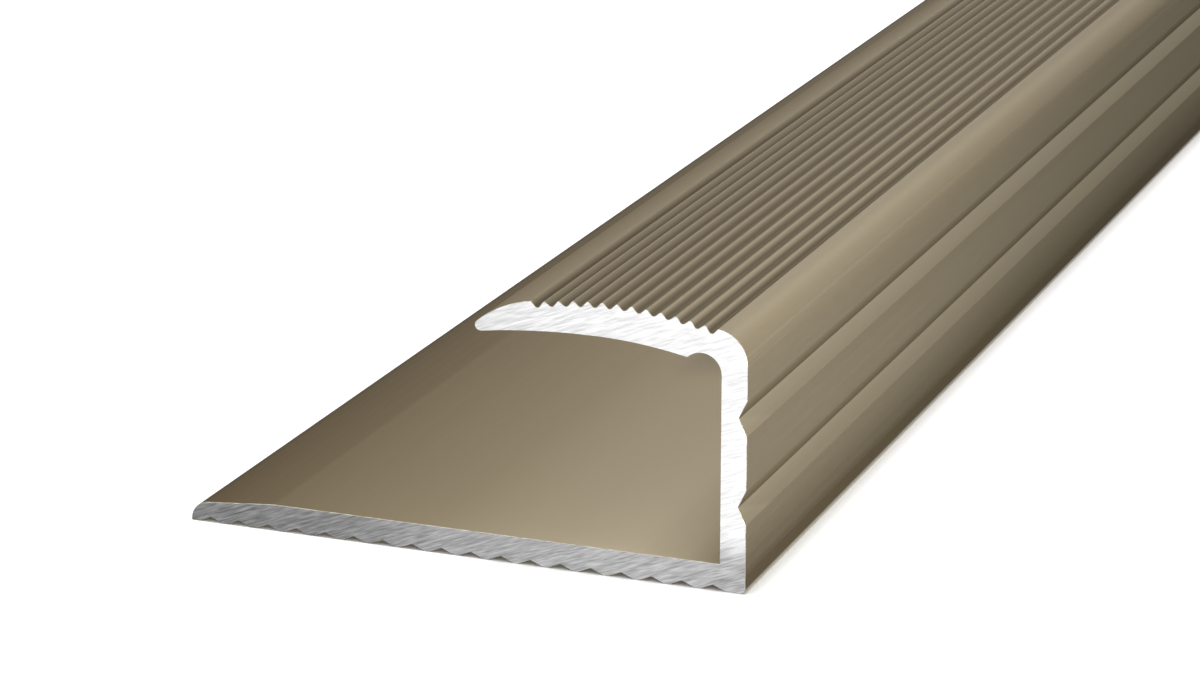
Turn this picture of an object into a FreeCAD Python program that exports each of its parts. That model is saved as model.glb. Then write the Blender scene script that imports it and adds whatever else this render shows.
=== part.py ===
# Edge trim profile: one straight aluminium extrusion with a serrated base,
# an upright wall and an arched, ribbed flange that hangs over the base.
#
# Sizes are in millimetres. X runs across the base towards the wall, Y along the
# length and Z up. The base stands on Z = 0, and the origin is the middle of it.

import FreeCAD, Part

import math
import os

# whole profile
length = 900.0              # along Y, sawn square at both ends
base_width = 27.0           # open edge of the base to the outer face of the wall
base_thickness = 1.27       # underside lands to the top of the base
wall_thickness = 1.2
mouth_height = 9.32         # top of the base up to the lip of the flange

# open edge of the base
edge_thickness = 0.89       # where the taper would end without its rounding
taper_width = 4.2           # open edge to the crease on top of the base
edge_top_radius = 0.9
edge_foot_radius = 0.06     # inside the larger rounding, down to the base plane
crease_radius = 3.0

# serration on the underside of the base
notch_pitch = 1.44
notch_width = 1.24          # across the mouth of one notch
notch_depth = 0.26
notch_inset = 0.98          # open edge of the base to the middle of the first notch
notch_end_land = 0.88       # plain land under the wall
notch_root_radius = 0.08
land_radius = 0.3           # between a land and the side of a notch
heel_radius = 0.25          # outer foot of the wall

# keying grooves along the outer face of the wall
key_height = 4.0            # base plane to the lower groove
key_spacing = 4.08          # lower groove to upper groove
key_width = 1.6
key_depth = 0.38
key_root_radius = 0.08
key_edge_radius = 0.06

# flange
flange_reach = 12.74        # outer face of the wall to the tip of the nose
flange_thickness = 1.55     # top of the hollow underside to the crown
crown_inset = 6.4           # outer face of the wall to the crown
crown_radius = 19.4         # arch through the tops of the ribs
corner_radius = 1.57        # wall to flange, outside
nose_top_radius = 5.3
nose_tip_radius = 0.26

# underside of the flange
hollow_inset = 7.4          # outer face of the wall to the top of the hollow
hollow_rise = 0.48          # lip to the top of the hollow
hollow_nose_radius = 37.0   # from the top of the hollow to the nose
lip_radius = 0.06

# relief between the lip and the wall
relief_radius = 0.92
relief_depth = 0.26         # above the lip

# ribs on top of the flange
rib_pitch = 0.69
rib_depth = 0.245
rib_top_radius = 0.1
rib_root_radius = 0.14
rib_wall_inset = 1.3        # plain band: outer face of the wall to its edge at the ribs
rib_nose_inset = 2.62       # plain band: tip of the nose to its edge at the ribs
band_rise = 0.085           # plain bands above the arch through the tops of the ribs

OUT = 1                     # rounding with the metal inside it
HOLLOW = -1                 # rounding with the metal around it


# The section is a closed row of circles, listed anticlockwise round the metal as
# (x, z, radius, side). Straight lines join them, tangent to each circle. A circle of
# radius 0 is a sharp corner. Here x is measured from the outer face of the wall.

def fillet(before, corner, after):
    """Circle that rounds one corner of a straight-sided outline."""
    x, z, radius = corner
    in_x, in_z = x - before[0], z - before[1]
    out_x, out_z = after[0] - x, after[1] - z
    in_len, out_len = math.hypot(in_x, in_z), math.hypot(out_x, out_z)
    in_x, in_z, out_x, out_z = in_x / in_len, in_z / in_len, out_x / out_len, out_z / out_len
    side = OUT if in_x * out_z - in_z * out_x > 0 else HOLLOW
    half_turn = math.acos(max(-1.0, min(1.0, in_x * out_x + in_z * out_z))) / 2
    away_x, away_z = out_x - in_x, out_z - in_z
    scale = radius / math.cos(half_turn) / math.hypot(away_x, away_z)
    return x + away_x * scale, z + away_z * scale, radius, side


def rounded(corners):
    """Circles for all corners of an open outline but its first and last."""
    return [fillet(*corners[i - 1:i + 2]) for i in range(1, len(corners) - 1)]


def even_steps(first, last, pitch):
    """Positions from first to last in equal steps close to the pitch."""
    steps = max(1, round(abs(last - first) / pitch))
    return [first + (last - first) * i / steps for i in range(steps + 1)]


def where_circles_meet(x1, z1, r1, x2, z2, r2):
    """The meeting point of two circles that lies on the left of the line from 1 to 2."""
    gap = math.hypot(x2 - x1, z2 - z1)
    along = (r1 * r1 - r2 * r2 + gap * gap) / (2 * gap)
    beside = math.sqrt(r1 * r1 - along * along)
    ux, uz = (x2 - x1) / gap, (z2 - z1) / gap
    return x1 + along * ux - beside * uz, z1 + along * uz + beside * ux


def inside_top(x, z, radius, top_x):
    """Rib-sized rounding at top_x that touches a larger circle from inside, near its top."""
    reach = radius - rib_top_radius
    return top_x, z + math.sqrt(reach ** 2 - (top_x - x) ** 2), rib_top_radius, OUT


def base_and_wall():
    """Base from its inner corner round the open edge, then under it and up the wall."""
    open_edge = -base_width
    lip_height = base_thickness + mouth_height
    top = rounded([
        (-wall_thickness, lip_height, 0),
        (-wall_thickness, base_thickness, 0),
        (open_edge + taper_width, base_thickness, crease_radius),
        (open_edge, edge_thickness, edge_top_radius),
        (open_edge, 0, 0),
    ])
    edge_x, edge_z = top[-1][:2]
    foot_reach = edge_top_radius - edge_foot_radius
    foot_x = edge_x - math.sqrt(foot_reach ** 2 - (edge_z - edge_foot_radius) ** 2)
    foot = (foot_x, edge_foot_radius, edge_foot_radius, OUT)

    corners = [(open_edge, 0, 0)]
    half = notch_width / 2
    for x in even_steps(open_edge + notch_inset, -notch_end_land - half, notch_pitch):
        corners += [
            (x - half, 0, land_radius),
            (x, notch_depth, notch_root_radius),
            (x + half, 0, land_radius),
        ]
    corners.append((0, 0, heel_radius))
    half = key_width / 2
    for z in (key_height, key_height + key_spacing):
        corners += [
            (0, z - half, key_edge_radius),
            (-key_depth, z, key_root_radius),
            (0, z + half, key_edge_radius),
        ]
    corners.append((0, lip_height, 0))
    return [*top, foot, *rounded(corners)]


def flange():
    """Flange from the outer corner over the ribs to the nose, and back under to the wall."""
    lip_height = base_thickness + mouth_height
    hollow_top = lip_height + hollow_rise
    arch_x = -crown_inset
    arch_z = hollow_top + flange_thickness - crown_radius
    band_radius = crown_radius + band_rise

    # corner rounding, tangent to the wall and to the arch of the plain bands
    corner_x = -corner_radius
    corner_z = arch_z + math.sqrt((band_radius - corner_radius) ** 2 - (corner_x - arch_x) ** 2)

    # nose: the tip touches the hollow underside, the round above it touches tip and bands
    under_x, under_z = -hollow_inset, hollow_top - hollow_nose_radius
    tip_x = nose_tip_radius - flange_reach
    tip_reach = hollow_nose_radius + nose_tip_radius
    tip_z = under_z + math.sqrt(tip_reach ** 2 - (tip_x - under_x) ** 2)
    nose_x, nose_z = where_circles_meet(
        tip_x, tip_z, nose_top_radius - nose_tip_radius,
        arch_x, arch_z, band_radius - nose_top_radius,
    )

    # ribs: rounded tops that touch the arch, with a rounded root between each two
    angles = even_steps(
        math.asin((crown_inset - rib_wall_inset) / crown_radius),
        math.asin((crown_inset - flange_reach + rib_nose_inset) / crown_radius),
        rib_pitch / crown_radius,
    )
    top_reach = crown_radius - rib_top_radius
    root_reach = crown_radius - rib_depth + rib_root_radius
    tops = [(arch_x + top_reach * math.sin(angle), arch_z + top_reach * math.cos(angle),
             rib_top_radius, OUT) for angle in angles]
    roots = [(arch_x + root_reach * math.sin((a + b) / 2), arch_z + root_reach * math.cos((a + b) / 2),
              rib_root_radius, HOLLOW) for a, b in zip(angles, angles[1:])]
    # the outer tops are the edges of the plain bands beside the ribs
    tops[0] = inside_top(corner_x, corner_z, corner_radius, tops[0][0])
    tops[-1] = inside_top(nose_x, nose_z, nose_top_radius, tops[-1][0])
    ribs = [tops[0]]
    for root, top in zip(roots, tops[1:]):
        ribs += [root, top]

    # relief beside the wall, and the lip where it meets the hollow underside
    relief_x = -wall_thickness - relief_radius
    relief_z = lip_height + relief_depth - relief_radius
    lip_z = lip_height + lip_radius
    lip_x = relief_x - math.sqrt((relief_radius + lip_radius) ** 2 - (lip_z - relief_z) ** 2)
    drop = hollow_top - lip_z
    span = lip_x - under_x
    hollow_radius = (span ** 2 + drop ** 2 - lip_radius ** 2) / (2 * (drop + lip_radius))

    return [
        (corner_x, corner_z, corner_radius, OUT),
        *ribs,
        (nose_x, nose_z, nose_top_radius, OUT),
        (tip_x, tip_z, nose_tip_radius, OUT),
        (under_x, under_z, hollow_nose_radius, HOLLOW),
        (under_x, hollow_top - hollow_radius, hollow_radius, HOLLOW),
        (lip_x, lip_z, lip_radius, OUT),
        (relief_x, relief_z, relief_radius, HOLLOW),
    ]


def tangent_line(a, b):
    """Both ends of the line from circle a to circle b; the same point twice where they touch."""
    gap_x, gap_z = b[0] - a[0], b[1] - a[1]
    radius_a, radius_b = a[2] * a[3], b[2] * b[3]
    slant = (radius_a - radius_b) / math.hypot(gap_x, gap_z)
    if abs(slant) > 1 - 1e-9:
        slant = math.copysign(1.0, slant)
    heading = math.atan2(gap_z, gap_x) + math.asin(slant)
    nx, nz = math.sin(heading), -math.cos(heading)
    start = (a[0] + radius_a * nx, a[1] + radius_a * nz)
    end = (b[0] + radius_b * nx, b[1] + radius_b * nz)
    if abs(slant) == 1:
        end = start
    return start, end


def placed(point):
    """A point of the section on the near end of the profile."""
    return FreeCAD.Vector(point[0] + base_width / 2, -length / 2, point[1])


def outline(circles):
    """Closed wire of lines and arcs round a row of circles."""
    count = len(circles)
    lines = [tangent_line(circles[i], circles[(i + 1) % count]) for i in range(count)]
    edges = []
    for i, (x, z, radius, side) in enumerate(circles):
        arrive, leave = lines[i - 1][1], lines[i][0]
        if radius:
            a = math.atan2(arrive[1] - z, arrive[0] - x)
            sweep = side * ((side * (math.atan2(leave[1] - z, leave[0] - x) - a)) % (2 * math.pi))
            middle = (x + radius * math.cos(a + sweep / 2), z + radius * math.sin(a + sweep / 2))
            edges.append(Part.Arc(placed(arrive), placed(middle), placed(leave)).toShape())
        if math.dist(*lines[i]) > 1e-6:
            edges.append(Part.makeLine(placed(leave), placed(lines[i][1])))
    return Part.Wire(edges)


section = Part.Face(outline(base_and_wall() + flange()))
profile = section.extrude(FreeCAD.Vector(0, length, 0))

os.makedirs("parts", exist_ok=True)
profile.exportStep("parts/edge_trim_profile.step")
print("valid", profile.isValid(), "solids", len(profile.Solids), "faces", len(profile.Faces))
print("box", profile.BoundBox)
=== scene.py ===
# Edge trim profile: the extruded trim lying on a white studio floor, seen from its sawn end.
# Sizes of the section are in millimetres, as in the part's source; Blender works in metres.

import math

import bmesh
import bpy
from mathutils import Matrix, Vector


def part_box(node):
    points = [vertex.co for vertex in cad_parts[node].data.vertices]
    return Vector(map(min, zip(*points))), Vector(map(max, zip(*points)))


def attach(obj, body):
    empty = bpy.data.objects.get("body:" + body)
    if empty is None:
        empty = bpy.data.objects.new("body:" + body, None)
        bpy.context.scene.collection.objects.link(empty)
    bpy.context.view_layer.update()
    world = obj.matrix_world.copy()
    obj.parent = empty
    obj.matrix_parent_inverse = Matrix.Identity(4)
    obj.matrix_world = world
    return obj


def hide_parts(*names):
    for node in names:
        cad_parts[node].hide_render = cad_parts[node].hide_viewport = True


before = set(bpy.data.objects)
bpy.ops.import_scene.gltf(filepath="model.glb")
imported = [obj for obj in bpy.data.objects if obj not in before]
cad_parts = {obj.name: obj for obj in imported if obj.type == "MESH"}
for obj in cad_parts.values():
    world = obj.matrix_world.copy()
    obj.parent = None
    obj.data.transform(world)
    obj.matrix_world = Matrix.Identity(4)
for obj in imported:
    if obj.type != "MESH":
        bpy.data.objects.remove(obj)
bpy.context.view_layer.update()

MM = 0.001
NODE = "edge_trim_profile"
box_low, box_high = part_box(NODE)

# section of the profile, with the same named sizes as the part
base_width = 27.0           # open edge of the base to the outer face of the wall
base_thickness = 1.27
wall_thickness = 1.2
mouth_height = 9.32         # top of the base up to the lip of the flange

edge_thickness = 0.89       # where the taper would end without its rounding
taper_width = 4.2           # open edge to the crease on top of the base
edge_top_radius = 0.9
edge_foot_radius = 0.06     # inside the larger rounding, down to the base plane
crease_radius = 3.0

notch_pitch = 1.44
notch_width = 1.24          # across the mouth of one notch
notch_depth = 0.26
notch_inset = 0.98          # open edge of the base to the middle of the first notch
notch_end_land = 0.88       # plain land under the wall
notch_root_radius = 0.08
land_radius = 0.3           # between a land and the side of a notch
heel_radius = 0.25          # outer foot of the wall

key_height = 4.0            # base plane to the lower groove
key_spacing = 4.08          # lower groove to upper groove
key_width = 1.6
key_depth = 0.38
key_root_radius = 0.08
key_edge_radius = 0.06

flange_reach = 12.74        # outer face of the wall to the tip of the nose
flange_thickness = 1.55     # top of the hollow underside to the crown
crown_inset = 6.4           # outer face of the wall to the crown
crown_radius = 19.4         # arch through the tops of the ribs
corner_radius = 1.57        # wall to flange, outside
nose_top_radius = 5.3
nose_tip_radius = 0.26

hollow_inset = 7.4          # outer face of the wall to the top of the hollow
hollow_rise = 0.48          # lip to the top of the hollow
hollow_nose_radius = 37.0   # from the top of the hollow to the nose
lip_radius = 0.06
relief_radius = 0.92
relief_depth = 0.26         # above the lip

rib_pitch = 0.69
rib_depth = 0.245
rib_top_radius = 0.1
rib_root_radius = 0.14
rib_wall_inset = 1.3        # plain band: outer face of the wall to its edge at the ribs
rib_nose_inset = 2.62       # plain band: tip of the nose to its edge at the ribs
band_rise = 0.085           # plain bands above the arch through the tops of the ribs

lip_height = base_thickness + mouth_height
hollow_top = lip_height + hollow_rise
arch_x = -crown_inset       # middle of the arch, with x from the outer face of the wall
arch_z = hollow_top + flange_thickness - crown_radius

OUT = 1                     # rounding with the metal inside it
HOLLOW = -1                 # rounding with the metal around it

# mesh
ARC_STEP = math.radians(12)
CHORD_ERROR = 0.002         # farthest that a chord lies from its arc
FLAT_STEP = 1.0             # longest step along a flat
BURR = 0.02                 # width of the broken edge round each sawn end
SIDE, EDGE, CAP = 0, 1, 2   # looks: anodised sides, broken edges, sawn ends

# flat layout for the export, in shares of the sheet
STRIPS = [(0.655, 0.66), (0.02, 0.64), (0.67, 0.675)]   # of near broken edge, sides, far broken edge
STRIP_ENDS = (0.01, 0.99)
END_WIDTH = 0.47
END_BOTTOM = 0.70
NEAR_END_LEFT = 0.02
FAR_END_LEFT = 0.51

# painted light and shade on the anodising: rows of (place, level), where a place is X from the outer
# face of the wall, Z, or the slope, which is the Z of the surface's normal
BASE_PAINTED_SHADING = [               # by X: painted shade at the open edge, painted light towards the wall
    (-27.0, 0.32), (-25.0, 0.49), (-24.5, 0.53), (-22.8, 0.60), (-15.0, 1.01),
    (-9.0, 1.49), (-5.0, 1.84), (-3.2, 1.87), (-1.2, 1.3),
]
BASE_WARMTH = [(-25.0, 1.0), (-20.0, 0.65), (-8.0, 0.38)]
WALL_PAINTED_SHADE = [               # by Z: painted shade, darkest at the foot of the wall
    (0.15, 0.12), (0.7, 0.46), (1.4, 0.61), (2.2, 0.74), (3.2, 0.86),
    (4.6, 0.91), (6.0, 0.94), (9.0, 0.95), (10.8, 1.01),
]
KEY_PAINTED_SHADING = [(-0.1, -0.62), (0.15, 0.2)]                # by slope: painted shade on the side that faces down, painted light on the side that faces up, in full at the root of a groove
CORNER_PAINTED_SHADING = [(0.0, 1.04), (0.15, 1.15), (0.5, 0.94), (0.65, 1.0), (0.95, 1.31)]   # by slope: painted highlight and shade round the corner
CORNER_WARMTH = 0.25
RIB_TOP_PAINTED_HIGHLIGHT = [(-10.0, 1.02), (-2.5, 1.2)]             # by X: painted highlight on the tops of the ribs
RIB_ROOT_PAINTED_SHADE = [(-10.0, 0.36), (-2.5, 0.58)]           # by X: painted shade in the roots of the ribs
RIB_SINK = 0.17             # below the arch, where the painted shade is that of a root
RIB_WARMTH = 0.1
NOSE_PAINTED_SHADE = [(0.6, 0.34), (0.95, 1.06)]                 # by slope: painted shade where the nose turns down
NOSE_WARMTH = [(-12.6, 0.9), (-10.3, 0.3)]              # by X
# painted light on the underside of the base
UNDERSIDE_PAINTED_LIGHT = 1.3
INNER_PAINTED_LIGHT = 1.4            # painted light on the tip of the nose and the hollow underside of the flange
INNER_WARMTH = 0.4
CLOSE = 0.01                # a point this close to a face is on it
UNDERSIDE_TOP = 0.4         # Z up to which faces that look down belong to the underside
WALL_SHADING_TOP = 0.5         # gap below the lip where the wall's painted shade stops
CORNER_OVERLAP = 0.3        # past the plain band beside the ribs
RIB_OVERLAP = 0.1           # past the plain band at the nose
CORNER_SLOPE = -0.1         # faces of the corner, the ribs and the nose have a greater slope
RIB_SLOPE = 0.05
NOSE_SLOPE = 0.2

# ranges that most of a noise lies in
FINE_SPREAD = (0.25, 0.75)
SPREAD = (0.3, 0.7)

# anodising: colours by the level of painted light and shade, and grain in steps per metre along X, Y and Z
FILM_COLOURS = [(0.4, (0.100, 0.072, 0.036)), (1.0, (0.250, 0.197, 0.119)), (1.9, (0.480, 0.400, 0.275))]
COOL_FILM = (1.0, 1.07, 1.20)
WARM_FILM = (1.0, 0.96, 0.86)
FILM_GLOSS = (1.0, 0.90, 0.72)
FILM_METALLIC = 0.5
FILM_ROUGHNESS = (0.35, 0.42)
DIE_LINES = (11000, 6, 11000)
STROKES = (15000, 700, 15000)
CLOUDS = (110, 9, 110)
LINE_CHANGE = 0.04          # of the level, to each side
STROKE_CHANGE = 0.025
CLOUD_CHANGE = 0.03
STROKE_SHARE = 0.5          # of the strokes in the grain
GRAIN_SPREAD = (0.5, 1.0)
FILM_BUMP = 0.3

# sawn ends: painted light and shade as rows of (place, level), where X is from the middle of the base,
# and scratches in steps per metre along X, Y and Z before they are turned
PAINTED_BASE_END_SHADE = [(-6.5, 0.155), (-0.5, 0.235)]              # by X: painted shade, dull along the base
PAINTED_BASE_END_RISE = [(0.0, 1.0), (8.0, 1.2)]               # by X: less painted shade towards the wall
PAINTED_LIGHT_END = [(0.8, 0.422), (13.0, 0.53)]              # by X: bright level, with painted light growing towards the wall
PAINTED_LIGHT_END_FALL = [(6.0, 1.07), (10.0, 1.0)]           # by Z: painted light, a little lighter low on the ends
UNDER_WALL = [(11.6, 0.0), (12.4, 1.0)]                 # by X
ABOVE_BASE = [(base_thickness, 0.0), (base_thickness + 0.2, 1.0)]   # by Z
FOOT_PAINTED_SHADE = [(0.0, 0.0), (2.7, 1.0)]                    # by Z: painted shade towards the floor
SAWN_LEVELS = (0.15, 0.5)   # of the painted dull and bright levels
STREAK_DEPTHS = (0.34, 0.08)                            # at the painted dull and bright levels
HAIR_DEPTHS = (0.44, 0.19)
SAW_SLANT = math.radians(20)
HAIR_SLANT = SAW_SLANT + 0.05
STREAKS = (1300, 1, 15500)
HAIRS = (600, 1, 23000)
PATCHES = (260, 1, 700)
HAIR_SPREAD = (0.54, 0.68)  # from no hair to a full one
PATCH_SPREAD = (0.42, 0.6)  # from few hairs to many
FEW_HAIRS = 0.25
SAWN_BUMP = 0.25
SAWN_METALLIC = 0.6
SAWN_ROUGHNESS = (0.38, 0.5)
GRAIN_DEPTH = 0.003         # of the bump on both metals

# broken edge
RIM_DULL = (0.21, 0.19, 0.155)
RIM_BRIGHT = (0.42, 0.395, 0.35)
NICKS = (3000, 3000, 3000)
NICK_SPREAD = (0.35, 0.65)
RIM_ROUGHNESS = (0.3, 0.5)

# sky: radiance up to each angle about the length, in degrees from straight up. It goes from
# straight down round the left, the top and the right to straight down again, for directions
# behind the near end, beside the stock and beyond its far end.
SKY_BEHIND = [(-90, 0.2), (-45, 1.9), (0, 1.3), (45, 0.75), (90, 1.3), (180, 0.35)]
SKY_BESIDE = [(45, 0.2), (90, 0.73), (135, 1.0), (180, 0.27)]
SKY_BEYOND = [(-50, 0.2), (-36, 1.65), (-20, 0.3), (10, 0.45), (30, 0.93), (90, 0.6), (180, 0.03)]
BEHIND_TO_BESIDE = (-0.1, 0.1)                          # Y of the direction
BESIDE_TO_BEYOND = (0.72, 0.80)
SKY_BLEND = 2.0             # degrees to each side of a panel edge
SKY_SCALE = 2.0             # radiance that a ramp level of 1 stands for

# lamps, in metres from the bottom outer corner of the near end
SIDE_PLACE = (0.0615, -0.005, 0.01)
SIDE_AIM = (0, 0.02, 0.006)
SIDE_SIZE = 0.02            # of the square lamp
SIDE_POWER = 0.054
CHANNEL_PLACE = (-0.0135, -0.25, 0.10)
CHANNEL_AIM = (-0.0095, 0.02, 0.004)
CHANNEL_CONE = math.radians(20)
CHANNEL_LAMP_RADIUS = 0.01
CHANNEL_POWER = 5.9
SUN_DIRECTION = (-0.013, 0.03, 1)                       # towards the lamp over the floor
SUN_ANGLE = math.radians(7.4)
SUN_POWER = 2.35

# floor and backdrop, in metres
FLOOR_WIDTH = 12.0
FLOOR_CLOUDS = (3, 3, 3)    # steps per metre
FLOOR_DARK = (0.88, 0.88, 0.88)
FLOOR_LIGHT = (0.92, 0.92, 0.92)
BACKDROP_RADIUS = 30.0

# camera: the bottom outer corner of the near end in the picture, and its distance in metres
IMAGE = (1200, 675)         # width and height of the picture
SENSOR = 36.0
LENS = 119.01               # in millimetres, as the sensor
AZIMUTH = math.radians(21.117)
ELEVATION = math.radians(17.159)
CORNER_PIXEL = (745.2, 589.6)
CORNER_DISTANCE = 0.17415
CORNER_HEIGHT = 0.246       # in millimetres, where the rounded heel ends
CLIP = (0.005, 100)         # in metres


# outline of the section: a closed row of circles, listed anticlockwise round the metal as
# (x, z, radius, side), with x from the outer face of the wall and tangent lines between them

def fillet(before, corner, after):
    """Circle that rounds one corner of a straight-sided outline."""
    x, z, radius = corner
    in_x, in_z = x - before[0], z - before[1]
    out_x, out_z = after[0] - x, after[1] - z
    in_len, out_len = math.hypot(in_x, in_z), math.hypot(out_x, out_z)
    in_x, in_z, out_x, out_z = in_x / in_len, in_z / in_len, out_x / out_len, out_z / out_len
    side = OUT if in_x * out_z - in_z * out_x > 0 else HOLLOW
    half_turn = math.acos(max(-1.0, min(1.0, in_x * out_x + in_z * out_z))) / 2
    away_x, away_z = out_x - in_x, out_z - in_z
    scale = radius / math.cos(half_turn) / math.hypot(away_x, away_z)
    return x + away_x * scale, z + away_z * scale, radius, side


def rounded(corners):
    """Circles for all corners of an open outline but its first and last."""
    return [fillet(*corners[i - 1:i + 2]) for i in range(1, len(corners) - 1)]


def even_steps(first, last, pitch):
    """Positions from first to last in equal steps close to the pitch."""
    steps = max(1, round(abs(last - first) / pitch))
    return [first + (last - first) * i / steps for i in range(steps + 1)]


def where_circles_meet(x1, z1, r1, x2, z2, r2):
    """The meeting point of two circles that lies on the left of the line from 1 to 2."""
    gap = math.hypot(x2 - x1, z2 - z1)
    along = (r1 * r1 - r2 * r2 + gap * gap) / (2 * gap)
    beside = math.sqrt(r1 * r1 - along * along)
    ux, uz = (x2 - x1) / gap, (z2 - z1) / gap
    return x1 + along * ux - beside * uz, z1 + along * uz + beside * ux


def inside_top(x, z, radius, top_x):
    """Rib-sized rounding at top_x that touches a larger circle from inside, near its top."""
    reach = radius - rib_top_radius
    return top_x, z + math.sqrt(reach ** 2 - (top_x - x) ** 2), rib_top_radius, OUT


def base_and_wall():
    """Base from its inner corner round the open edge, then under it and up the wall."""
    open_edge = -base_width
    top = rounded([
        (-wall_thickness, lip_height, 0),
        (-wall_thickness, base_thickness, 0),
        (open_edge + taper_width, base_thickness, crease_radius),
        (open_edge, edge_thickness, edge_top_radius),
        (open_edge, 0, 0),
    ])
    edge_x, edge_z = top[-1][:2]
    foot_reach = edge_top_radius - edge_foot_radius
    foot_x = edge_x - math.sqrt(foot_reach ** 2 - (edge_z - edge_foot_radius) ** 2)
    foot = (foot_x, edge_foot_radius, edge_foot_radius, OUT)

    corners = [(open_edge, 0, 0)]
    half = notch_width / 2
    for x in even_steps(open_edge + notch_inset, -notch_end_land - half, notch_pitch):
        corners += [
            (x - half, 0, land_radius),
            (x, notch_depth, notch_root_radius),
            (x + half, 0, land_radius),
        ]
    corners.append((0, 0, heel_radius))
    half = key_width / 2
    for z in (key_height, key_height + key_spacing):
        corners += [
            (0, z - half, key_edge_radius),
            (-key_depth, z, key_root_radius),
            (0, z + half, key_edge_radius),
        ]
    corners.append((0, lip_height, 0))
    return [*top, foot, *rounded(corners)]


def rib_circles(corner, nose):
    """Rounded tops that touch the arch, with a rounded root between each two."""
    angles = even_steps(
        math.asin((crown_inset - rib_wall_inset) / crown_radius),
        math.asin((crown_inset - flange_reach + rib_nose_inset) / crown_radius),
        rib_pitch / crown_radius,
    )
    top_reach = crown_radius - rib_top_radius
    root_reach = crown_radius - rib_depth + rib_root_radius
    tops = [(arch_x + top_reach * math.sin(angle), arch_z + top_reach * math.cos(angle),
             rib_top_radius, OUT) for angle in angles]
    roots = [(arch_x + root_reach * math.sin((a + b) / 2), arch_z + root_reach * math.cos((a + b) / 2),
              rib_root_radius, HOLLOW) for a, b in zip(angles, angles[1:])]
    # the outer tops are the edges of the plain bands beside the ribs
    tops[0] = inside_top(*corner, tops[0][0])
    tops[-1] = inside_top(*nose, tops[-1][0])
    ribs = [tops[0]]
    for root, top in zip(roots, tops[1:]):
        ribs += [root, top]
    return ribs


def flange():
    """Flange from the outer corner over the ribs to the nose, and back under to the wall."""
    # corner rounding, tangent to the wall and to the arch of the plain bands
    band_radius = crown_radius + band_rise
    corner_x = -corner_radius
    corner_z = arch_z + math.sqrt((band_radius - corner_radius) ** 2 - (corner_x - arch_x) ** 2)
    corner = (corner_x, corner_z, corner_radius)

    # nose: the tip touches the hollow underside, the round above it touches tip and bands
    under_x, under_z = -hollow_inset, hollow_top - hollow_nose_radius
    tip_x = nose_tip_radius - flange_reach
    tip_reach = hollow_nose_radius + nose_tip_radius
    tip_z = under_z + math.sqrt(tip_reach ** 2 - (tip_x - under_x) ** 2)
    nose_x, nose_z = where_circles_meet(
        tip_x, tip_z, nose_top_radius - nose_tip_radius,
        arch_x, arch_z, band_radius - nose_top_radius,
    )
    nose = (nose_x, nose_z, nose_top_radius)

    # relief beside the wall, and the lip where it meets the hollow underside
    relief_x = -wall_thickness - relief_radius
    relief_z = lip_height + relief_depth - relief_radius
    lip_z = lip_height + lip_radius
    lip_x = relief_x - math.sqrt((relief_radius + lip_radius) ** 2 - (lip_z - relief_z) ** 2)
    drop = hollow_top - lip_z
    width = lip_x - under_x
    hollow_radius = (width ** 2 + drop ** 2 - lip_radius ** 2) / (2 * (drop + lip_radius))

    return [
        (*corner, OUT),
        *rib_circles(corner, nose),
        (*nose, OUT),
        (tip_x, tip_z, nose_tip_radius, OUT),
        (under_x, under_z, hollow_nose_radius, HOLLOW),
        (under_x, hollow_top - hollow_radius, hollow_radius, HOLLOW),
        (lip_x, lip_z, lip_radius, OUT),
        (relief_x, relief_z, relief_radius, HOLLOW),
    ]


def tangent_line(a, b):
    """Both ends of the line from circle a to circle b, the same point twice where they touch,
    and the line's outward normal."""
    gap_x, gap_z = b[0] - a[0], b[1] - a[1]
    radius_a, radius_b = a[2] * a[3], b[2] * b[3]
    slant = (radius_a - radius_b) / math.hypot(gap_x, gap_z)
    if abs(slant) > 1 - 1e-9:
        slant = math.copysign(1.0, slant)
    heading = math.atan2(gap_z, gap_x) + math.asin(slant)
    normal = (math.sin(heading), -math.cos(heading))
    start = (a[0] + radius_a * normal[0], a[1] + radius_a * normal[1])
    end = (b[0] + radius_b * normal[0], b[1] + radius_b * normal[1])
    if abs(slant) == 1:
        end = start
    return start, end, normal


def section_points():
    """Points round the section, each with the outward normal before it and after it."""
    circles = base_and_wall() + flange()
    count = len(circles)
    lines = [tangent_line(circles[i], circles[(i + 1) % count]) for i in range(count)]
    points = []
    for i, (x, z, radius, side) in enumerate(circles):
        (_, arrive, normal_in), (_, _, normal_out) = lines[i - 1], lines[i]
        if not radius:
            points.append((arrive, normal_in, normal_out))
            continue
        first = math.atan2(normal_in[1], normal_in[0])
        turn = math.atan2(normal_out[1], normal_out[0]) - first
        turn = side * ((side * turn) % (2 * math.pi))
        step = min(ARC_STEP, 2 * math.acos(1 - CHORD_ERROR / radius))
        steps = max(1, math.ceil(abs(turn) / step))
        for k in range(steps + 1):
            angle = first + turn * k / steps
            normal = (math.cos(angle), math.sin(angle))
            points.append(((x + side * radius * normal[0], z + side * radius * normal[1]), normal, normal))
    return stepped(points)


def stepped(points):
    """The same points, with more of them along each long flat."""
    finer = []
    for i, point in enumerate(points):
        (x1, z1), _, normal = point
        x2, z2 = points[(i + 1) % len(points)][0]
        steps = max(1, math.ceil(math.dist((x1, z1), (x2, z2)) / FLAT_STEP))
        finer.append(point)
        for k in range(1, steps):
            share = k / steps
            finer.append(((x1 + (x2 - x1) * share, z1 + (z2 - z1) * share), normal, normal))
    return finer


# mesh of the profile

def read(rows, value):
    """Level from rows of (place, level), straight between them and held at both ends."""
    for (x1, y1), (x2, y2) in zip(rows, rows[1:]):
        if value < x2:
            return between(value, x1, x2, y1, y2)
    return rows[-1][1]


def between(value, low, high, at_low, at_high):
    """Straight run between two values, held at both ends."""
    share = max(0.0, min(1.0, (value - low) / (high - low)))
    return at_low + (at_high - at_low) * share


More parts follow.
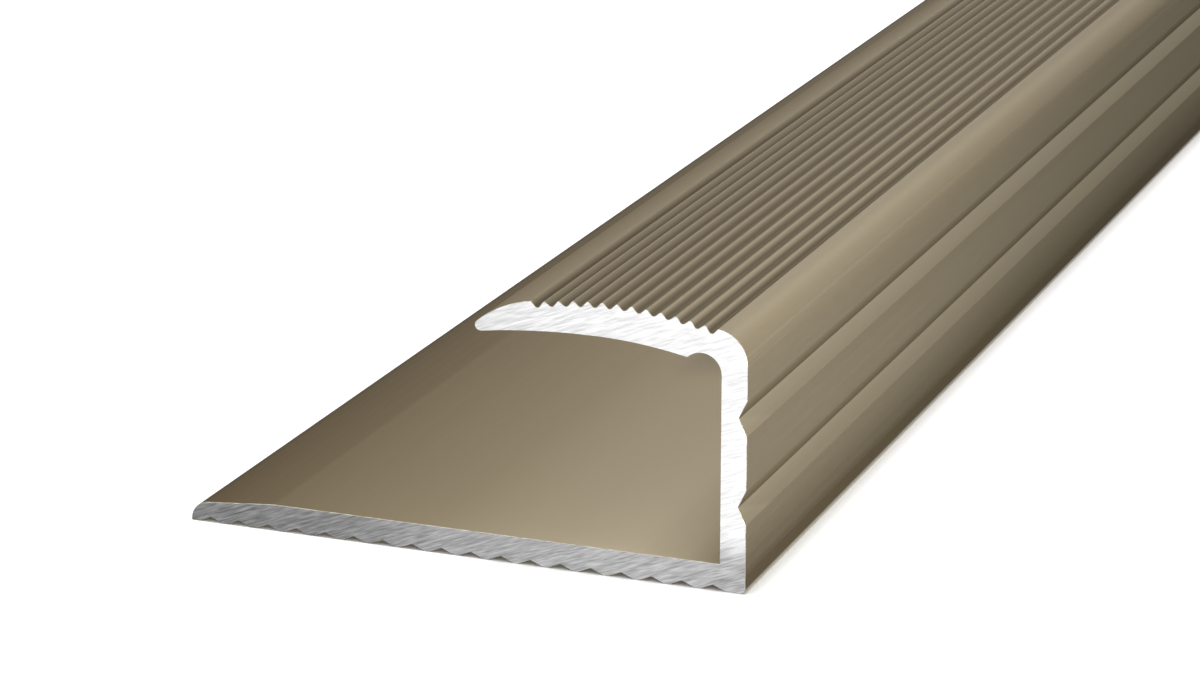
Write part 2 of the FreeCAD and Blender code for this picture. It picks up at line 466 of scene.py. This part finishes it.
def painted_tone(x, z, slope):
    """Painted light and shade at a point of the section, as a level, and how warm the anodising is there;
    slope is the normal's Z.
    """
    # underside of the base, lightened by painted light
    if z < UNDERSIDE_TOP and slope < 0:
        return UNDERSIDE_PAINTED_LIGHT, 0.0
    # top of the base: painted shade at the open edge, painted light near the wall
    if x < -wall_thickness + CLOSE and z < base_thickness + CLOSE:
        return read(BASE_PAINTED_SHADING, x), read(BASE_WARMTH, x)
    # outer face of the wall: painted shade towards the foot, and in each groove painted shade on its upper
    # side and painted light on its lower
    if x > -key_depth - CLOSE and z < lip_height - WALL_SHADING_TOP:
        sunk = between(-x, 0.0, key_depth, 0.0, 1.0)
        return read(WALL_PAINTED_SHADE, z) * (1 + sunk * read(KEY_PAINTED_SHADING, slope)), 0.0
    # corner with its plain band, and inner face of the wall: painted highlight and shade by slope
    if x > -rib_wall_inset - CORNER_OVERLAP and slope > CORNER_SLOPE:
        return read(CORNER_PAINTED_SHADING, slope), CORNER_WARMTH
    # ribs, with a painted highlight at their tops and painted shade at their roots
    if x > -flange_reach + rib_nose_inset - RIB_OVERLAP and slope > RIB_SLOPE:
        sink = crown_radius - math.hypot(x - arch_x, z - arch_z)
        level = between(sink, 0.0, RIB_SINK, read(RIB_TOP_PAINTED_HIGHLIGHT, x), read(RIB_ROOT_PAINTED_SHADE, x))
        return level, RIB_WARMTH
    # plain band at the nose, with painted shade where it turns down
    if slope > NOSE_SLOPE:
        return read(NOSE_PAINTED_SHADE, slope), read(NOSE_WARMTH, x)
    # tip of the nose, and hollow underside, lightened by painted light
    return INNER_PAINTED_LIGHT, INNER_WARMTH


def broken_outline(points):
    """The outline of a sawn end, inside that of the sides by the width of the broken edge."""
    inset = []
    for (x, z), a, b in points:
        nx, nz = a[0] + b[0], a[1] + b[1]
        scale = BURR * 2 / (nx * nx + nz * nz)
        inset.append((x - nx * scale, z - nz * scale))
    return inset


def build_profile():
    """The extruded metal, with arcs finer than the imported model's and broken edges at the ends."""
    points = section_points()
    count = len(points)
    near, far = box_low.y, box_high.y
    outline = [place for place, _, _ in points]
    inset = broken_outline(points)
    rings = [(inset, near), (outline, near + BURR * MM), (outline, far - BURR * MM), (inset, far)]
    verts = [(box_high.x + x * MM, y, z * MM) for ring, y in rings for x, z in ring]
    faces = []
    looks = []
    for band, look in enumerate((EDGE, SIDE, EDGE)):
        for i in range(count):
            j = (i + 1) % count
            a, b = band * count, (band + 1) * count
            faces.append((a + i, b + i, b + j, a + j))
            looks.append(look)
    faces.append(tuple(range(count)))
    faces.append(tuple(range(4 * count - 1, 3 * count - 1, -1)))
    looks += [CAP, CAP]

    mesh = bpy.data.meshes.new(NODE + "_finished")
    mesh.from_pydata(verts, [], faces)
    for look, face in zip(looks, mesh.polygons):
        face.material_index = look
        face.use_smooth = True
    set_normals(mesh, points)
    lay_out(mesh, points)
    # painted light and shade as a level, with the warmth, at each point of the section
    painted_tones = [painted_tone(x, z, (a[1] + b[1]) / 2) for (x, z), a, b in points] * len(rings)
    for name, values in zip(("painted_tone", "warmth"), zip(*painted_tones)):
        mesh.attributes.new(name, "FLOAT", "POINT").data.foreach_set("value", values)

    piece = bpy.data.objects.new("profile", mesh)
    bpy.context.scene.collection.objects.link(piece)
    return piece


def set_normals(mesh, points):
    """Exact normals, so that flat faces stay flat and arcs stay round."""
    count = len(points)
    normals = []
    for face in mesh.polygons:
        if face.material_index == CAP:
            normals += [face.normal.copy()] * face.loop_total
            continue
        band, i = divmod(face.index, count)
        along = band - 1        # towards the near end, neither, or towards the far end
        before, after = points[i][2], points[(i + 1) % count][1]
        start = Vector((before[0], along, before[1])).normalized()
        end = Vector((after[0], along, after[1])).normalized()
        normals += [start, start, end, end]
    mesh.normals_split_custom_set([tuple(n) for n in normals])


def shares_round(points):
    """Share of the way round the section at each point, and 1 for the first point again."""
    count = len(points)
    steps = [math.dist(points[i][0], points[(i + 1) % count][0]) for i in range(count)]
    reached = [0.0]
    for step in steps:
        reached.append(reached[-1] + step)
    return [length / reached[-1] for length in reached]


def lay_out(mesh, points):
    """Flat layout for the export: the long sides as one strip, the two sawn ends large above it."""
    shares = shares_round(points)
    layout = mesh.uv_layers.new(name="OFBake")
    start, stop = STRIP_ENDS
    for face in mesh.polygons:
        if face.material_index == CAP:
            spots = end_spots([mesh.vertices[v].co for v in face.vertices])
        else:
            band, i = divmod(face.index, len(points))
            bottom, top = STRIPS[band]
            first, second = [bottom + (top - bottom) * share for share in shares[i:i + 2]]
            spots = [(start, first), (stop, first), (stop, second), (start, second)]
        for loop, spot in zip(face.loop_indices, spots):
            layout.data[loop].uv = spot


def end_spots(corners):
    """Places on the sheet of the corners of a sawn end."""
    left = NEAR_END_LEFT if corners[0].y < 0 else FAR_END_LEFT
    scale = END_WIDTH / base_width / MM
    return [(left + (corner.x - box_low.x) * scale, END_BOTTOM + corner.z * scale) for corner in corners]


# nodes of a material

COLOUR_FACTOR, FIRST_COLOUR, SECOND_COLOUR, MIXED_COLOUR = 0, 6, 7, 2     # sockets of a Mix node


def new_material(name):
    """A material with its node tree and shader."""
    material = bpy.data.materials.new(name)
    material.use_nodes = True
    return material, material.node_tree, material.node_tree.nodes["Principled BSDF"]


def add(tree, kind, sockets=(), **settings):
    """A node with its settings, and its sockets set to values or linked to other sockets."""
    node = tree.nodes.new("ShaderNode" + kind)
    for name, value in settings.items():
        setattr(node, name, value)
    for name, value in dict(sockets).items():
        if isinstance(value, bpy.types.NodeSocket):
            tree.links.new(value, node.inputs[name])
        else:
            node.inputs[name].default_value = value
    return node


def noise(tree, spot, scale, turn=0.0, detail=2.0, seed=0.0):
    """Noise on object coordinates turned about the length and stretched by a scale per metre."""
    turned = add(tree, "Mapping", {"Vector": spot, "Rotation": (0, turn, 0)})
    places = {"Vector": turned.outputs[0], "Scale": scale, "Location": (seed, seed, seed)}
    placed = add(tree, "Mapping", places)
    return add(tree, "TexNoise", {"Vector": placed.outputs[0], "Scale": 1.0, "Detail": detail}).outputs["Fac"]


def span(tree, value, low, high, to_low=0.0, to_high=1.0):
    """A value carried from one range to another, held at both ends."""
    ranges = {"From Min": low, "From Max": high, "To Min": to_low, "To Max": to_high}
    return add(tree, "MapRange", {"Value": value, **ranges}).outputs[0]


def graded(tree, place, rows):
    """The level at a place, from two rows of (place in millimetres, level)."""
    (low, at_low), (high, at_high) = rows
    return span(tree, place, low * MM, high * MM, at_low, at_high)


def maths(tree, operation, a, b):
    """Two values added, multiplied or otherwise combined."""
    return add(tree, "Math", {0: a, 1: b}, operation=operation).outputs[0]


def varied(tree, level, pattern, spread, change):
    """A level made darker and lighter by a pattern, by a share to each side."""
    return maths(tree, "MULTIPLY", level, span(tree, pattern, *spread, 1 - change, 1 + change))


def mixed(tree, factor, first, second):
    """A colour between two by a factor."""
    sockets = {COLOUR_FACTOR: factor, FIRST_COLOUR: first, SECOND_COLOUR: second}
    return add(tree, "Mix", sockets, data_type="RGBA").outputs[MIXED_COLOUR]


def shade(tree, factor, dark, light):
    """A colour between two fixed ones by a factor."""
    return mixed(tree, factor, (*dark, 1), (*light, 1))


def ramp(tree, value, stops):
    """Colours read from rows of (position, colour)."""
    node = add(tree, "ValToRGB", {"Fac": value})
    elements = node.color_ramp.elements
    for position, _ in stops[1:-1]:
        elements.new(position)
    for element, (position, colour) in zip(elements, stops):
        element.position = position
        element.color = (*colour, 1)
    return node.outputs[0]


# materials

def anodised():
    """Satin bronze anodising: fine die lines along the stock, over painted light and shade that vary by
    place.
    """
    material, tree, shader = new_material("bronze_anodised")
    spot = add(tree, "TexCoord").outputs["Object"]
    lines = noise(tree, spot, DIE_LINES, detail=3.0)
    strokes = noise(tree, spot, STROKES, seed=3.7)
    clouds = noise(tree, spot, CLOUDS, seed=8.1)

    # colour by the level of painted light and shade, then by the warmth of the anodising
    level = add(tree, "Attribute", attribute_name="painted_tone").outputs["Fac"]
    level = varied(tree, level, lines, FINE_SPREAD, LINE_CHANGE)
    level = varied(tree, level, strokes, FINE_SPREAD, STROKE_CHANGE)
    level = varied(tree, level, clouds, SPREAD, CLOUD_CHANGE)
    least, most = FILM_COLOURS[0][0], FILM_COLOURS[-1][0]
    stops = [((place - least) / (most - least), colour) for place, colour in FILM_COLOURS]
    colour = ramp(tree, span(tree, level, least, most), stops)
    warmth = add(tree, "Attribute", attribute_name="warmth").outputs["Fac"]
    tint = shade(tree, warmth, COOL_FILM, WARM_FILM)
    colour = add(tree, "VectorMath", {0: colour, 1: tint}, operation="MULTIPLY").outputs[0]

    grain = maths(tree, "ADD", lines, maths(tree, "MULTIPLY", strokes, STROKE_SHARE))
    bump = add(tree, "Bump", {"Height": grain, "Strength": FILM_BUMP, "Distance": GRAIN_DEPTH * MM})
    tree.links.new(colour, shader.inputs["Base Color"])
    tree.links.new(span(tree, grain, *GRAIN_SPREAD, *FILM_ROUGHNESS), shader.inputs["Roughness"])
    tree.links.new(bump.outputs[0], shader.inputs["Normal"])
    shader.inputs["Metallic"].default_value = FILM_METALLIC
    shader.inputs["Specular Tint"].default_value = (*FILM_GLOSS, 1)
    return material


def sawn_painted_light(tree, spot):
    """Painted light and shade on the sawn ends: painted shade, dull along the base and darker towards the
    floor, and painted light, brighter towards the wall and white up the wall and over the flange.
    """
    x, _, z = add(tree, "SeparateXYZ", {0: spot}).outputs
    painted_dull = maths(tree, "MULTIPLY", graded(tree, x, PAINTED_BASE_END_SHADE), graded(tree, x, PAINTED_BASE_END_RISE))
    painted_white = maths(tree, "MULTIPLY", graded(tree, x, PAINTED_LIGHT_END), graded(tree, z, PAINTED_LIGHT_END_FALL))
    beyond_base = maths(tree, "MAXIMUM", graded(tree, x, UNDER_WALL), graded(tree, z, ABOVE_BASE))
    share = maths(tree, "MULTIPLY", beyond_base, graded(tree, z, FOOT_PAINTED_SHADE))
    return maths(tree, "MAXIMUM", painted_dull, maths(tree, "MULTIPLY", share, painted_white))


def sawn():
    """Bare aluminium left by the saw: slanting scratches, strong where painted shade makes it dull and faint
    where painted light makes it bright.
    """
    material, tree, shader = new_material("sawn_aluminium")
    spot = add(tree, "TexCoord").outputs["Object"]
    streaks = noise(tree, spot, STREAKS, SAW_SLANT, detail=3.0)
    hairs = noise(tree, spot, HAIRS, HAIR_SLANT, seed=5.3)
    patches = noise(tree, spot, PATCHES, SAW_SLANT, seed=2.2)

    # painted light and shade of the sawn ends, as a level
    level = sawn_painted_light(tree, spot)
    streak_depth = span(tree, level, *SAWN_LEVELS, *STREAK_DEPTHS)
    hair_depth = span(tree, level, *SAWN_LEVELS, *HAIR_DEPTHS)
    change = maths(tree, "MULTIPLY", span(tree, streaks, *SPREAD, -1.0, 1.0), streak_depth)
    streaked = maths(tree, "ADD", 1.0, change)
    share = span(tree, patches, *PATCH_SPREAD, FEW_HAIRS, 1.0)
    worn = maths(tree, "MULTIPLY", span(tree, hairs, *HAIR_SPREAD), share)
    kept = maths(tree, "SUBTRACT", 1.0, maths(tree, "MULTIPLY", worn, hair_depth))
    tone = maths(tree, "MULTIPLY", streaked, kept)
    grey = {channel: maths(tree, "MULTIPLY", tone, level) for channel in range(3)}
    colour = add(tree, "CombineXYZ", grey).outputs[0]

    bump = add(tree, "Bump", {"Height": streaks, "Strength": SAWN_BUMP, "Distance": GRAIN_DEPTH * MM})
    tree.links.new(colour, shader.inputs["Base Color"])
    tree.links.new(span(tree, streaks, *SPREAD, *SAWN_ROUGHNESS), shader.inputs["Roughness"])
    tree.links.new(bump.outputs[0], shader.inputs["Normal"])
    shader.inputs["Metallic"].default_value = SAWN_METALLIC
    return material


def broken_edge():
    """The thin bright rim where the saw broke through the film."""
    material, tree, shader = new_material("broken_edge")
    spot = add(tree, "TexCoord").outputs["Object"]
    nicks = noise(tree, spot, NICKS, detail=3.0)
    colour = shade(tree, span(tree, nicks, *NICK_SPREAD), RIM_DULL, RIM_BRIGHT)
    tree.links.new(colour, shader.inputs["Base Color"])
    tree.links.new(span(tree, nicks, *SPREAD, *RIM_ROUGHNESS), shader.inputs["Roughness"])
    shader.inputs["Metallic"].default_value = SAWN_METALLIC
    return material


def floor_white():
    """Matt white floor with a faint cloudiness."""
    material, tree, shader = new_material("floor")
    spot = add(tree, "TexCoord").outputs["Object"]
    clouds = noise(tree, spot, FLOOR_CLOUDS)
    tree.links.new(shade(tree, clouds, FLOOR_DARK, FLOOR_LIGHT), shader.inputs["Base Color"])
    shader.inputs["Roughness"].default_value = 1.0
    shader.inputs["Specular IOR Level"].default_value = 0.0
    return material


def backdrop_white():
    """White that glows evenly and lights nothing."""
    material, _, shader = new_material("backdrop")
    shader.inputs["Base Color"].default_value = (0, 0, 0, 1)
    shader.inputs["Specular IOR Level"].default_value = 0.0
    shader.inputs["Emission Color"].default_value = (1, 1, 1, 1)
    shader.inputs["Emission Strength"].default_value = 1.0
    material.cycles.emission_sampling = "NONE"
    return material


# the profile

profile = build_profile()
for make in (anodised, broken_edge, sawn):
    profile.data.materials.append(make())
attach(profile, "root")
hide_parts(NODE)


# studio

def setting(name, mesh, material):
    """A piece of the studio that the camera sees, but that lights and shades nothing."""
    mesh.materials.append(material)
    piece = bpy.data.objects.new(name, mesh)
    piece.visible_diffuse = False
    piece.visible_glossy = False
    piece.visible_shadow = False
    bpy.context.scene.collection.objects.link(piece)
    return piece


def floor():
    """A large plane under the profile."""
    half = FLOOR_WIDTH / 2
    corners = [(-half, -half, 0), (half, -half, 0), (half, half, 0), (-half, half, 0)]
    mesh = bpy.data.meshes.new("floor")
    mesh.from_pydata(corners, [], [(0, 1, 2, 3)])
    return setting("floor", mesh, floor_white())


def backdrop():
    """Plain white walls all round, in front of the panels of the sky."""
    mesh = bpy.data.meshes.new("backdrop")
    dome = bmesh.new()
    bmesh.ops.create_icosphere(dome, subdivisions=3, radius=BACKDROP_RADIUS)
    dome.to_mesh(mesh)
    dome.free()
    return setting("backdrop", mesh, backdrop_white())


def panels(rows):
    """Ramp stops for panels of even light, each up to its angle, with a short blend between them."""
    stops = [(0.0, rows[0][1])]
    for (angle, level), (_, following) in zip(rows, rows[1:]):
        stops += [((angle - SKY_BLEND + 180) / 360, level), ((angle + SKY_BLEND + 180) / 360, following)]
    stops.append((1.0, rows[-1][1]))
    return [(place, [level / SKY_SCALE] * 3) for place, level in stops]


def sky():
    """Soft panels of light all round, by the angle about the length of the profile: 0 is straight up."""
    world = bpy.data.worlds.new("studio")
    bpy.context.scene.world = world
    world.use_nodes = True
    tree = world.node_tree
    x, y, z = add(tree, "SeparateXYZ", {0: add(tree, "TexCoord").outputs["Generated"]}).outputs
    angle = maths(tree, "MULTIPLY", maths(tree, "ARCTAN2", x, z), 180 / math.pi)
    turn = span(tree, angle, -180.0, 180.0)
    behind, beside, beyond = [ramp(tree, turn, panels(rows)) for rows in (SKY_BEHIND, SKY_BESIDE, SKY_BEYOND)]
    near = mixed(tree, span(tree, y, *BEHIND_TO_BESIDE), behind, beside)
    full = mixed(tree, span(tree, y, *BESIDE_TO_BEYOND), near, beyond)
    background = tree.nodes["Background"]
    tree.links.new(full, background.inputs["Color"])
    background.inputs["Strength"].default_value = SKY_SCALE


def lamp(name, kind, place, aim, power, reached):
    """A lamp turned to a point, unseen by the camera, that lights one object."""
    light = bpy.data.lights.new(name, kind)
    light.energy = power
    holder = bpy.data.objects.new(name, light)
    holder.location = place
    holder.rotation_euler = (Vector(aim) - Vector(place)).to_track_quat("-Z", "Y").to_euler()
    holder.visible_camera = False
    holder.light_linking.receiver_collection = bpy.data.collections.new(name)
    holder.light_linking.receiver_collection.objects.link(reached)
    bpy.context.scene.collection.objects.link(holder)
    return light


def lamps(ground):
    """A soft lamp beside the near end, one that looks into the channel, and one over the floor."""
    corner = Vector((box_high.x, box_low.y, 0))
    place, aim = [corner + Vector(offset) for offset in (SIDE_PLACE, SIDE_AIM)]
    side = lamp("side_lamp", "AREA", place, aim, SIDE_POWER, profile)
    side.size = SIDE_SIZE
    place, aim = [corner + Vector(offset) for offset in (CHANNEL_PLACE, CHANNEL_AIM)]
    channel = lamp("channel_lamp", "SPOT", place, aim, CHANNEL_POWER, profile)
    channel.spot_size = CHANNEL_CONE
    channel.spot_blend = 1.0
    channel.shadow_soft_size = CHANNEL_LAMP_RADIUS
    sun = lamp("floor_lamp", "SUN", SUN_DIRECTION, (0, 0, 0), SUN_POWER, ground)
    sun.angle = SUN_ANGLE


def camera():
    """The photograph's camera, set by the bottom outer corner of the near end."""
    data = bpy.data.cameras.new("camera")
    data.sensor_width = SENSOR
    data.lens = LENS
    data.clip_start, data.clip_end = CLIP
    level_part = math.cos(ELEVATION)
    forward = Vector((-math.sin(AZIMUTH) * level_part, math.cos(AZIMUTH) * level_part, -math.sin(ELEVATION)))
    right = forward.cross(Vector((0, 0, 1))).normalized()
    up = right.cross(forward)
    focal = LENS / SENSOR * IMAGE[0]
    across, down = [(CORNER_PIXEL[i] - IMAGE[i] / 2) / focal for i in range(2)]
    ray = (forward + right * across - up * down).normalized()
    holder = bpy.data.objects.new("camera", data)
    holder.location = Vector((box_high.x, box_low.y, CORNER_HEIGHT * MM)) - ray * CORNER_DISTANCE
    holder.rotation_euler = Matrix((right, up, -forward)).transposed().to_euler()
    bpy.context.scene.collection.objects.link(holder)
    bpy.context.scene.camera = holder


backdrop()
sky()
lamps(floor())
camera()
bpy.context.scene.view_settings.view_transform = "Standard"
